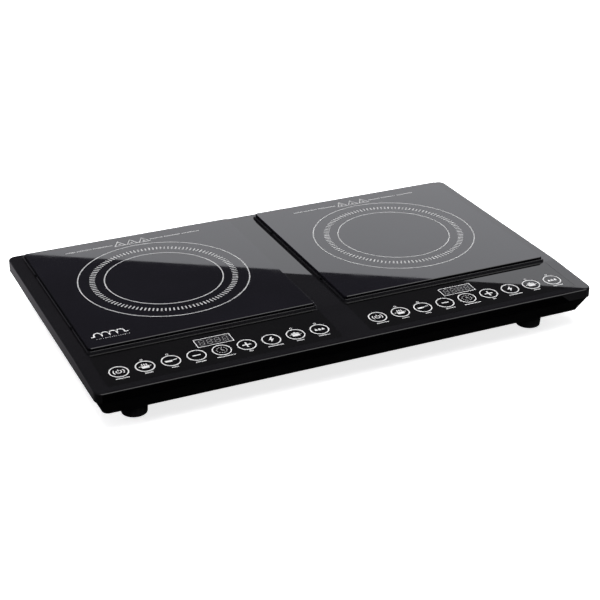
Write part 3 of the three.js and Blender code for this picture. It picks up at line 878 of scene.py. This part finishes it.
def print_film(name):
    captions = Print()
    for n, x in key_places(name):
        captions.dashes(x, KEY_Y - CAPTION_DROP, CAPTION_LENGTHS[n - 1], *CAPTION_DASH)
        if n in LAMP_KEYS:
            captions.ring(x, KEY_Y + LAMP_RISE, LAMP_RADIUS, LAMP_LINE, 24)
    captions.make(f"film_print_{name}", "ink", raised(PANEL, -CAPTION_SINK))
    frame_line = Print()
    corners = ((-1, -1), (1, -1), (1, 1), (-1, 1))
    w, h = (side / 2 - FRAME_INSET for side in DISPLAY_SIZE)
    x = node_middle(f"control_film_{name}").x
    frame_line.stroke([(x + sx * w, DISPLAY_Y + sy * h) for sx, sy in corners], FRAME_LINE, closed=True)
    frame_line.make(f"display_frame_{name}", "ink", raised(PANEL, -DISPLAY_SUNK))


def build_display(name):
    place = PANEL @ shift(node_middle(f"display_{name}").x, DISPLAY_Y)
    full = outline(*DISPLAY_SIZE, DISPLAY_CORNER, 4)
    face = outline(*(side - 2 * DISPLAY_BEVEL for side in DISPLAY_SIZE), DISPLAY_CORNER, 4)
    sections = [(full, -DISPLAY_DEEP), (full, -DISPLAY_SUNK - DISPLAY_BEVEL), (face, -DISPLAY_SUNK)]
    finish_piece(loft(f"lens_{name}", sections, place), "lens", replaces=f"display_{name}")
    digits = Print()
    for k in range(DIGIT_COUNT):
        draw_digit(digits, (k - (DIGIT_COUNT - 1) / 2) * DIGIT_PITCH)
    for rise in (COLON_RISE, -COLON_RISE):
        digits.disc(0, rise, COLON_RADIUS)
    digits.make(f"segments_{name}", "ink_dim", raised(place, -DISPLAY_SUNK))


def draw_digit(p, x):
    """Seven separate segments, each a bar with pointed ends."""
    w, h, line = DIGIT_SIZE[0] / 2, DIGIT_SIZE[1] / 4, DIGIT_LINE / 2
    for sy in (-1, 0, 1):
        half, point = w - ROW_SHORT, ROW_POINT
        row = [(-half, 0), (point - half, -line), (half - point, -line), (half, 0), (half - point, line),
               (point - half, line)]
        p.plate([(x + u + DIGIT_LEAN * sy * 2 * h, sy * 2 * h + v) for u, v in row])
    for sx in (-1, 1):
        for sy in (-1, 1):
            half, point = h - COLUMN_SHORT, COLUMN_POINT
            column = [(0, -half), (line, point - half), (line, half - point), (0, half),
                      (-line, half - point), (-line, point - half)]
            p.plate([(x + sx * w + u + DIGIT_LEAN * (sy * h + v), sy * h + v) for u, v in column])


# ---- prints on the glass -----------------------------------------------------------------
RING_OUTER = 106.1
RING_INNER = 73.4
RING_LINE = 1.4
RING_Y = 37.3
TICKS = 113
TICK_IN, TICK_OUT, TICK_WIDTH = 85.0, 91.9, 1.75
# The row of fine print behind the rings: blocks of dashes on both sides of three triangles.
ROW_Y = 155.4
ROW_SINK = 1.0
ROW_BLOCKS = ((-1, 28.5, (27, 19, 13.5)), (1, 22.5, (17, 23, 25)))
ROW_GAP = 2
ROW_DASH = (1.7, 0.55, 2.3)
TRIANGLE_SHIFT, TRIANGLE_PITCH, TRIANGLE_LINE = -3, 16.4, 1.3
TRIANGLE = ((-7.2, -5.6), (7.2, -5.6), (0, 7.4))
INNER_TRIANGLE = ((-2.0, -2.9), (2.0, -2.9), (0, 0.9))
COIL_X, COIL_Y = -268, -79.5
COIL_RADIUS, COIL_LEG, COIL_LEAD = 4.6, 3.6, 4
COIL_PINCH = 0.4
COIL_TURNS = 4
COIL_LINE = 1.7
COIL_DASHES = (2, -6.5, 40, 0.9, 1.7, 1.0)


def print_glass(name):
    x = node_middle(f"glass_plate_{name}").x
    place = raised(FLAT, GLASS_TOP)
    rings = Print()
    rings.ring(x, RING_Y, RING_OUTER, RING_LINE, 160)
    rings.ring(x, RING_Y, RING_INNER, RING_LINE, 128)
    rings.make(f"zone_rings_{name}", "ink_line", place)
    ticks = Print()
    middle = (TICK_IN + TICK_OUT) / 2
    for k in range(TICKS):
        a = 2 * math.pi * k / TICKS
        ticks.bar(x + middle * math.cos(a), RING_Y + middle * math.sin(a), TICK_OUT - TICK_IN, TICK_WIDTH, a)
    ticks.make(f"zone_ticks_{name}", "ink_line", place)
    row = Print()
    for sign, reach, lengths in ROW_BLOCKS:
        for length in lengths:
            row.dashes(x + sign * (reach + length / 2), ROW_Y - ROW_SINK, length, *ROW_DASH)
            reach += length + ROW_GAP
    for k in (-1, 0, 1):
        middle = x + TRIANGLE_SHIFT + k * TRIANGLE_PITCH
        row.stroke([(middle + u, ROW_Y + v) for u, v in TRIANGLE], TRIANGLE_LINE, closed=True)
        row.plate([(middle + u, ROW_Y + v) for u, v in INNER_TRIANGLE])
    row.make(f"rear_row_{name}", "ink_line", place)


def print_coil_mark():
    """Generic inductor sign: a lead, a few arches and a lead, over a row of dashes."""
    mark = Print()
    half = COIL_TURNS * COIL_RADIUS
    points = [(COIL_X - half - COIL_LEAD, COIL_Y), (COIL_X - half, COIL_Y)]
    for k in range(COIL_TURNS):
        middle = COIL_X + (2 * k + 1) * COIL_RADIUS - half
        points += [(middle + (COIL_RADIUS - COIL_PINCH) * math.cos(a),
                    COIL_Y + COIL_LEG + COIL_RADIUS * math.sin(a))
                   for a in (math.pi * (1 - i / 10) for i in range(11))]
        points.append((middle + COIL_RADIUS, COIL_Y))
    points.append((COIL_X + half + COIL_LEAD, COIL_Y))
    mark.stroke(points, COIL_LINE)
    across, rise, *row = COIL_DASHES
    mark.dashes(COIL_X + across, COIL_Y + rise, *row)
    mark.make("coil_sign", "ink", raised(FLAT, GLASS_TOP))


# ---- feet, gland, screws -----------------------------------------------------------------
# Sections of the turned pieces, as (radius, height) pairs.
FOOT_RECESS = [(0, 8), (3.5, 8), (3.5, 0.4), (3.9, 0)]
FOOT_GROOVES = (6.5, 9.5, 12.2)
FOOT_GROOVE = [(-0.6, 0), (-0.4, 0.9), (0.4, 0.9), (0.6, 0)]
FOOT_EDGE = arc_profile(14.0, 1.0, 1.0, -90, -4)
FOOT_SHOULDER = [(15.9, 15.4)] + arc_profile(15.5, 15.7, 0.5, 0, 90, 3)
FOOT_PEG = [(4.4, 16.2), (4.4, 20.5), (0, 20.5)]
GLAND_SUNK = 2.7
GLAND_STEM = [(4, -14), (6.5, -14), (6.5, 0), (8.7, 0)]
GLAND_FLANGE = arc_profile(8.4, 0.9, 0.6, -60, 90)
GLAND_FACE = [(7.2, 1.6), (6.4, 1.2), (5.6, 1.6), (5.0, 2.2), (4.4, 2.3), (4, 1.9)]
SCREW_HEAD = [(0, 17.3), (2.6, 17.3)] + arc_profile(2.9, 18.0, 0.7, -90, 0)
SCREW_BODY = [(3.6, 19.7), (1.7, 19.7), (1.7, 33), (0, 34)]
CROSS_SIZE = (3.6, 0.8)
CROSS_CUT = (17, 18.6)


def build_feet():
    profile = list(FOOT_RECESS)
    for groove in FOOT_GROOVES:
        profile += [(groove + across, height) for across, height in FOOT_GROOVE]
    profile += FOOT_EDGE + FOOT_SHOULDER + FOOT_PEG
    for name, spot in foot_spots().items():
        foot = turned(f"pad_{name}", profile, shift(spot.x, spot.y), 48)
        finish_piece(foot, "rubber", replaces=f"foot_{name}")


def build_gland():
    place = shift(node_middle("cord_gland").x, DEPTH / 2 - GLAND_SUNK, GLAND_Z)
    turn = place @ Matrix.Rotation(-math.pi / 2, 4, "X")
    bush = turned("gland_bush", GLAND_STEM + GLAND_FLANGE + GLAND_FACE, turn, 48)
    finish_piece(bush, "rubber", replaces="cord_gland")


def build_screws():
    for n, spot in enumerate(screw_spots(), 1):
        place = shift(spot.x, spot.y)
        screw = turned(f"screw_{n}", SCREW_HEAD + SCREW_BODY, place, 32)
        cross = place @ Matrix.Rotation(0.5 + n, 4, "Z")
        for size in (CROSS_SIZE, CROSS_SIZE[::-1]):
            combine(screw, [slab("cut", *size, *CROSS_CUT, matrix=cross)])
        finish_piece(screw, "screw", replaces=f"case_screw_{n}")


# ---- inner parts that keep their CAD shape -----------------------------------------------
INNER = {"glass_seal": "seal", "control_board": "board", "coil_carrier": "moulding", "coil": "copper",
         "temp_sensor": "ceramic", "power_board": "board", "heat_sink": "heat_sink", "capacitor": "capacitor",
         "choke": "ferrite", "fan_frame": "moulding", "fan_rotor": "moulding", "terminal_block": "terminal"}


def dress_inner():
    for name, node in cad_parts.items():
        kind = name.replace("_left", "").replace("_right", "")
        if kind in INNER:
            node.data.materials.clear()
            node.data.materials.append(LOOKS[INNER[kind]].material)


# ---- studio ------------------------------------------------------------------------------
CAMERA_AIM = Vector((-0.03325, -0.0896, 0.060))
CAMERA_DISTANCE = 1.7336
CAMERA_AZIMUTH = math.radians(-24.587)
CAMERA_ELEVATION = math.radians(26.548)
CAMERA_ROLL = math.radians(0.0988)
CAMERA_LENS = 86.66
CAMERA_SENSOR = 36
CAMERA_CLIP = (0.05, 60)


def add_camera():
    data = bpy.data.cameras.new("camera")
    data.lens = CAMERA_LENS
    data.sensor_width = CAMERA_SENSOR
    data.clip_start, data.clip_end = CAMERA_CLIP
    camera = bpy.data.objects.new("camera", data)
    bpy.context.scene.collection.objects.link(camera)
    right = Vector((math.cos(CAMERA_AZIMUTH), math.sin(CAMERA_AZIMUTH), 0))
    level = Vector((right.y, -right.x, 0))
    back = level * math.cos(CAMERA_ELEVATION) + Vector((0, 0, math.sin(CAMERA_ELEVATION)))
    up = back.cross(right)
    turn = Matrix((right, up, back)).transposed() @ Matrix.Rotation(CAMERA_ROLL, 3, "Z")
    camera.matrix_world = Matrix.Translation(CAMERA_AIM + back * CAMERA_DISTANCE) @ turn.to_4x4()
    bpy.context.scene.camera = camera


def card_look(name, glow, tint=(1, 1, 1)):
    look = Look(name, roughness=0.9, specular_ior_level=0.0)
    look.drift(look.noise(400, 3), grey(0.0985), grey(0.1))
    look.glow(glow, tint)
    return look.material


def stage_plane(name, corners, material):
    mesh = bpy.data.meshes.new(name)
    mesh.from_pydata(corners, [], [tuple(range(len(corners)))])
    plane = bpy.data.objects.new(name, mesh)
    bpy.context.scene.collection.objects.link(plane)
    mesh.materials.append(material)
    return plane


def level_plane(name, low, high, z, material):
    corners = [(low[0], low[1], z), (high[0], low[1], z), (high[0], high[1], z), (low[0], high[1], z)]
    return stage_plane(name, corners, material)


def area_light(name, location, target, size, power):
    """A soft light that no reflection shows."""
    data = bpy.data.lights.new(name, "AREA")
    data.shape = "RECTANGLE"
    data.size, data.size_y = size
    data.energy = power
    light = bpy.data.objects.new(name, data)
    light.location = location
    light.rotation_mode = "QUATERNION"
    light.rotation_quaternion = (Vector(target) - Vector(location)).to_track_quat("-Z", "Y")
    light.visible_glossy = False
    bpy.context.scene.collection.objects.link(light)


FLOOR_REACH = 24
WALL_HEIGHT = 16
FLOOR_GLOW = (0.78, 0.97)
FLOOR_FADE = (0.5, 3.0)
# A high card in front of the object, mirrored only by its front edges.
EDGE_CARD = ((-1.4, -3.0), (2.6, -0.9), 2.2)
EDGE_GLOW = 2.8
# The back card stands on a slanting line behind the object, y = slope * x + start.
CARD_SLOPE = -0.6354
CARD_START = 3.5469
CARD_GLOW = 1.25
CARD_TINT = (1.0, 1.01, 1.055)
# Its top edge, as (x, height): low behind the plates, higher to the right.
CARD_EDGE = ((-2.6, 1.46), (0.40, 1.46), (0.40, 1.5), (1.80, 1.5), (1.80, 1.803), (2.2, 1.776), (4.6, 1.61))
# Faint cards round the foot of the object: low and high corner, glow at the front and at the rear.
FILLS = (("left_fill", (-1.0, -0.5), (-0.33, 1.0), (0.03, 0.30)),
         ("right_fill", (0.33, -0.5), (1.0, 1.0), (0.10, 0.22)),
         ("rear_fill", (-0.33, 0.2), (0.33, 1.0), (0.40, 0.40)))
FILL_FADE = (-0.17, 0.30)
FILL_TINT = (1.0, 0.97, 1.04)
FILL_Z = 0.002
# Lights: name, place, aim, size, power.
LIGHTS = (("overhead", (0.1, 0.3, 2.6), (0, 0, 0), (3.0, 2.6), 92),
          ("left_soft", (-2.2, 0.6, 0.9), (0, 0, 0.05), (1.2, 1.0), 12),
          ("right_soft", (2.4, 0.7, 0.9), (0, 0, 0.05), (1.2, 1.0), 16),
          ("rear_soft", (-0.4, 2.4, 0.8), (0, 0, 0.05), (1.2, 1.0), 34))
# Sky brightness by height: 0 is straight down, 0.5 the horizon and 1 straight up.
SKY = ((0.49, 0.0), (0.505, 0.28), (0.56, 0.24), (0.61, 0.07), (1.0, 0.07))
SKY_TINT = (0.96, 0.93, 1.08)


def unseen(card):
    """Only reflections see the card."""
    card.visible_camera = False
    card.visible_diffuse = False
    card.visible_shadow = False


def add_fill(name, low, high, glow):
    """A card on the floor whose glow runs from front to rear."""
    look = Look(name, roughness=1.0, specular_ior_level=0.0)
    look.drift(look.noise(300, 2), grey(0.01), grey(0.012))
    along = look.node("ShaderNodeSeparateXYZ", {"Vector": look.coords}).outputs["Y"]
    look.glow(look.spread(along, *glow, *FILL_FADE), FILL_TINT)
    unseen(level_plane(name, low, high, FILL_Z, look.material))


def add_floor():
    """Pale paper that glows a little, more so away from the object, with walls of it far off."""
    look = Look("floor_paper", roughness=0.9, specular_ior_level=0.0)
    look.drift(look.noise(400, 3), grey(0.885), grey(0.9))
    reach = look.node("ShaderNodeVectorMath", {0: look.coords}, operation="LENGTH").outputs["Value"]
    look.glow(look.spread(reach, *FLOOR_GLOW, *FLOOR_FADE))
    r, h = FLOOR_REACH, WALL_HEIGHT
    ends = [(-r, -r), (r, -r), (r, r), (-r, r)]
    paper = [stage_plane("floor", [(x, y, 0) for x, y in ends], look.material)]
    for (x0, y0), (x1, y1) in zip(ends, ends[1:] + ends[:1]):
        wall = stage_plane("wall", [(x0, y0, 0), (x1, y1, 0), (x1, y1, h), (x0, y0, h)], look.material)
        wall.visible_shadow = False
        paper.append(wall)
    for plane in paper:
        plane.visible_glossy = False
        plane.visible_diffuse = False


def add_world():
    """A dim sky with a lighter band above the horizon and nothing below it."""
    world = bpy.data.worlds.new("studio")
    bpy.context.scene.world = world
    world.use_nodes = True
    nodes, links = world.node_tree.nodes, world.node_tree.links
    background = nodes["Background"]
    background.inputs["Color"].default_value = (*SKY_TINT, 1)
    split = nodes.new("ShaderNodeSeparateXYZ")
    links.new(nodes.new("ShaderNodeTexCoord").outputs["Generated"], split.inputs["Vector"])
    height = nodes.new("ShaderNodeMapRange")
    height.inputs["From Min"].default_value = -1
    links.new(split.outputs["Z"], height.inputs["Value"])
    ramp = nodes.new("ShaderNodeValToRGB")
    points = ramp.color_ramp.elements
    while len(points) < len(SKY):
        points.new(0.5)
    for point, (place, level) in zip(points, SKY):
        point.position = place
        point.color = (level, level, level, 1)
    links.new(height.outputs["Result"], ramp.inputs["Fac"])
    links.new(ramp.outputs["Color"], background.inputs["Strength"])


def build_studio():
    add_floor()
    on_card = [(x, CARD_SLOPE * x + CARD_START, z) for x, z in CARD_EDGE]
    foot = [(x, y, 0) for x, y, _ in (on_card[-1], on_card[0])]
    unseen(stage_plane("back_card", on_card + foot, card_look("card_white", CARD_GLOW, CARD_TINT)))
    for fill in FILLS:
        add_fill(*fill)
    unseen(level_plane("edge_card", *EDGE_CARD, card_look("edge_white", EDGE_GLOW)))
    for light in LIGHTS:
        area_light(*light)
    add_world()
    bpy.context.scene.view_settings.view_transform = "Standard"
    bpy.context.scene.view_settings.look = "None"


add_camera()
build_case()
build_base()
for side_name in SIDES:
    build_glass(side_name)
    build_film(side_name)
    build_display(side_name)
    for number, key_x in key_places(side_name):
        build_key(side_name, number, key_x)
        print_key(side_name, number, key_x)
    print_film(side_name)
    print_glass(side_name)
print_coil_mark()
build_feet()
build_gland()
build_screws()
dress_inner()
build_studio()
